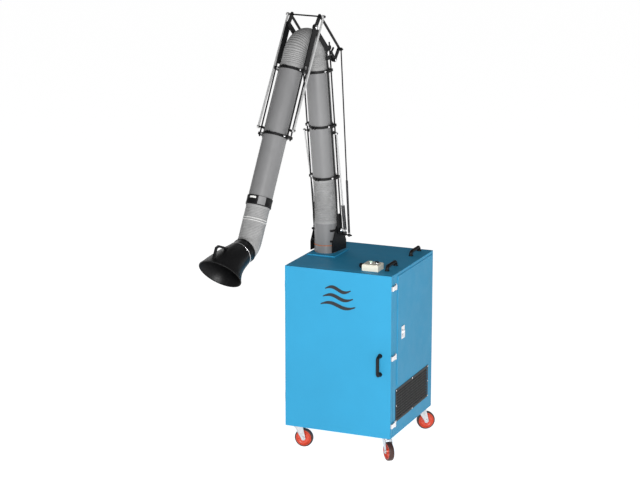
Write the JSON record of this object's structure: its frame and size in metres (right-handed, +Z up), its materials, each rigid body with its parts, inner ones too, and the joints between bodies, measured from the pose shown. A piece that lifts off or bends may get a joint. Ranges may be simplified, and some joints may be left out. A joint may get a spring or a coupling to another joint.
{
  "type": "mobile solder fume extractor",
  "caption": "Filter cabinet on swivel casters with a full-height latched door and a balanced, rod-framed duct arm that ends in a tilting capture hood.",
  "frame": {"origin": "on the floor, under the centre of the cabinet's footprint", "axes": "+Z up, the door faces -Y, the outlet grille is on the +X side"},
  "size_m": [0.8233, 1.321, 2.317],
  "materials": {
    "blue_paint": "fine satin powder coat",
    "zinc_steel": "zinc plated",
    "filter_media": "matt pleated media",
    "black_paint": "satin black",
    "seal_rubber": "matt",
    "ring_rubber": "matt orange-brown",
    "ivory_plastic": "semi-gloss",
    "black_plastic": "fine satin",
    "bright_metal": "bright",
    "wheel_plastic": "orange-red hub with a dark tread",
    "grey_hose": "ribbed coated fabric",
    "grey_tube": "smooth satin grey",
    "spring_steel": "dark coil steel"
  },
  "bodies": {
    "cabinet": {"cabinet_body": "blue_paint", "top_panel": "blue_paint", "side_panel": "blue_paint", "filter_shelf": "zinc_steel", "prefilter": "filter_media", "main_filter": "filter_media", "fan_scroll": "zinc_steel", "fan_motor": "black_paint", "outlet_grille": "black_paint", "grille_screws": "bright_metal", "arm_base_plate": "blue_paint", "inlet_duct": "zinc_steel", "swivel_seal": "ring_rubber", "switch_box": "ivory_plastic", "cable_gland": "black_plastic", "top_handles": "black_plastic", "door_gasket": "seal_rubber", "hinge_pins": "zinc_steel", "latch_bases": "bright_metal", "caster_plates": "zinc_steel"},
    "impeller": {"fan_impeller": "bright_metal"},
    "start_button": {"start_button": "ivory_plastic"},
    "stop_button": {"stop_button": "black_plastic"},
    "latch_top": {"latch_top": "bright_metal"},
    "latch_middle": {"latch_middle": "bright_metal"},
    "latch_bottom": {"latch_bottom": "bright_metal"},
    "panel_lock": {"panel_lock": "bright_metal"},
    "door": {"door_panel": "blue_paint", "door_fittings": "zinc_steel", "door_handle": "black_plastic"},
    "turret": {"turret_collar": "grey_tube", "turret_frame": "black_paint"},
    "lower_arm": {"shoulder_hose": "grey_hose", "lower_tube": "grey_tube", "lower_frame": "black_paint", "lower_clamps": "black_paint", "balance_springs": "spring_steel"},
    "outer_arm": {"elbow_hose": "grey_hose", "outer_tube": "grey_tube", "outer_frame": "black_paint", "outer_clamps": "black_paint", "elbow_crossbar": "black_paint", "stay_rods": "bright_metal", "hose_cuff": "black_plastic", "hood_hose": "grey_hose"},
    "rocker": {"rocker": "black_paint"},
    "top_links": {"top_links": "black_paint"},
    "rear_rod": {"rear_rod": "black_paint"},
    "rear_spring": {"rear_spring": "spring_steel"},
    "hood_mount": {"hood_joint": "black_paint"},
    "hood": {"hood": "black_plastic", "hood_handle": "black_plastic"},
    "fork_front_left": {"fork_front_left": "zinc_steel"},
    "wheel_front_left": {"wheel_front_left": "wheel_plastic"},
    "fork_front_right": {"fork_front_right": "zinc_steel"},
    "wheel_front_right": {"wheel_front_right": "wheel_plastic"},
    "fork_rear_left": {"fork_rear_left": "zinc_steel"},
    "wheel_rear_left": {"wheel_rear_left": "wheel_plastic"},
    "fork_rear_right": {"fork_rear_right": "zinc_steel"},
    "wheel_rear_right": {"wheel_rear_right": "wheel_plastic"}
  },
  "joints": [
    {"name": "door_hinge", "type": "hinge", "parent": "cabinet", "child": "door", "pos_m": [-0.307, -0.28, 0.5], "axis": [0, 0, -1], "range_deg": [0, 110]},
    {"name": "impeller_spin", "type": "hinge", "parent": "cabinet", "child": "impeller", "pos_m": [-0.02, 0, 0.25], "axis": [0, 0, 1], "continuous": true},
    {"name": "lock_turn", "type": "hinge", "parent": "cabinet", "child": "panel_lock", "pos_m": [0.3, -0.15, 0.672], "axis": [1, 0, 0], "range_deg": [0, 90]},
    {"name": "start_press", "type": "slide", "parent": "cabinet", "child": "start_button", "axis": [0, 0, -1], "range_m": [0, 0.003], "stiffness_N_per_m": 400, "springref_m": -0.001},
    {"name": "stop_press", "type": "slide", "parent": "cabinet", "child": "stop_button", "axis": [0, 0, -1], "range_m": [0, 0.003], "stiffness_N_per_m": 400, "springref_m": -0.001},
    {"name": "latch_top_turn", "type": "hinge", "parent": "cabinet", "child": "latch_top", "pos_m": [0.306, -0.252, 0.941], "axis": [0, 0, 1], "range_deg": [0, 100]},
    {"name": "latch_middle_turn", "type": "hinge", "parent": "cabinet", "child": "latch_middle", "pos_m": [0.306, -0.252, 0.566], "axis": [0, 0, 1], "range_deg": [0, 100]},
    {"name": "latch_bottom_turn", "type": "hinge", "parent": "cabinet", "child": "latch_bottom", "pos_m": [0.306, -0.252, 0.197], "axis": [0, 0, 1], "range_deg": [0, 100]},
    {"name": "swivel_front_left", "type": "hinge", "parent": "cabinet", "child": "fork_front_left", "pos_m": [-0.255, -0.25, 0.115], "axis": [0, 0, 1], "continuous": true},
    {"name": "roll_front_left", "type": "hinge", "parent": "fork_front_left", "child": "wheel_front_left", "pos_m": [-0.21935, -0.24499, 0.05], "axis": [-0.1392, 0.9903, 0], "continuous": true},
    {"name": "swivel_front_right", "type": "hinge", "parent": "cabinet", "child": "fork_front_right", "pos_m": [0.255, -0.25, 0.115], "axis": [0, 0, 1], "continuous": true},
    {"name": "roll_front_right", "type": "hinge", "parent": "fork_front_right", "child": "wheel_front_right", "pos_m": [0.27955, -0.27633, 0.05], "axis": [0.7314, 0.682, 0], "continuous": true},
    {"name": "swivel_rear_left", "type": "hinge", "parent": "cabinet", "child": "fork_rear_left", "pos_m": [-0.255, 0.264, 0.115], "axis": [0, 0, 1], "continuous": true},
    {"name": "roll_rear_left", "type": "hinge", "parent": "fork_rear_left", "child": "wheel_rear_left", "pos_m": [-0.22117, 0.27631, 0.05], "axis": [-0.342, 0.9397, 0], "continuous": true},
    {"name": "swivel_rear_right", "type": "hinge", "parent": "cabinet", "child": "fork_rear_right", "pos_m": [0.25, 0.264, 0.115], "axis": [0, 0, 1], "continuous": true},
    {"name": "roll_rear_right", "type": "hinge", "parent": "fork_rear_right", "child": "wheel_rear_right", "pos_m": [0.27949, 0.28465, 0.05], "axis": [-0.5736, 0.8192, 0], "continuous": true},
    {"name": "arm_swivel", "type": "hinge", "parent": "cabinet", "child": "turret", "pos_m": [-0.218, 0.05, 1.008], "axis": [0, 0, 1], "range_deg": [-150, 150]},
    {"name": "shoulder_tilt", "type": "hinge", "parent": "turret", "child": "lower_arm", "pos_m": [-0.21466, 0.06972, 1.135], "axis": [0.986, -0.1668, 0], "range_deg": [-15, 35], "deforming": ["shoulder_hose", "balance_springs"]},
    {"name": "elbow_tilt", "type": "hinge", "parent": "lower_arm", "child": "outer_arm", "pos_m": [-0.25686, -0.17974, 2.252], "axis": [-0.986, 0.1668, 0], "range_deg": [-12, 50], "deforming": ["elbow_hose"]},
    {"name": "rocker_turn", "type": "hinge", "parent": "lower_arm", "child": "rocker", "pos_m": [-0.22617, 0.00169, 2.062], "axis": [-0.986, 0.1668, 0], "range_deg": [-12.5, 50.5]},
    {"name": "link_turn", "type": "hinge", "parent": "outer_arm", "child": "top_links", "pos_m": [-0.25069, -0.14326, 2.304], "axis": [-0.986, 0.1668, 0], "range_deg": [-50.5, 12.5]},
    {"name": "rear_rod_turn", "type": "hinge", "parent": "rocker", "child": "rear_rod", "pos_m": [-0.22, 0.03817, 2.114], "axis": [-0.986, 0.1668, 0], "range_deg": [-48.5, 12.5]},
    {"name": "rear_spring_turn", "type": "hinge", "parent": "turret", "child": "rear_spring", "pos_m": [-0.20549, 0.12395, 1.098], "axis": [0.986, -0.1668, 0], "range_deg": [-13, 30], "deforming": ["rear_spring"]},
    {"name": "hood_tilt", "type": "hinge", "parent": "outer_arm", "child": "hood_mount", "pos_m": [-0.33988, -0.67061, 1.18437], "axis": [-0.986, 0.1668, 0], "range_deg": [-25, 50], "deforming": ["hood_hose"]},
    {"name": "hood_turn", "type": "hinge", "parent": "hood_mount", "child": "hood", "pos_m": [-0.33988, -0.67061, 1.18437], "axis": [-0.1611, -0.9524, -0.2588], "range_deg": [-170, 170]}
  ],
  "couplings": [
    {"joint": "rocker_turn", "follows": "elbow_tilt", "ratio": 1},
    {"joint": "link_turn", "follows": "elbow_tilt", "ratio": -1},
    {"joint": "rear_rod_turn", "follows": "elbow_tilt", "ratio": -0.953},
    {"joint": "rear_spring_turn", "follows": "shoulder_tilt", "ratio": 0.845}
  ]
}
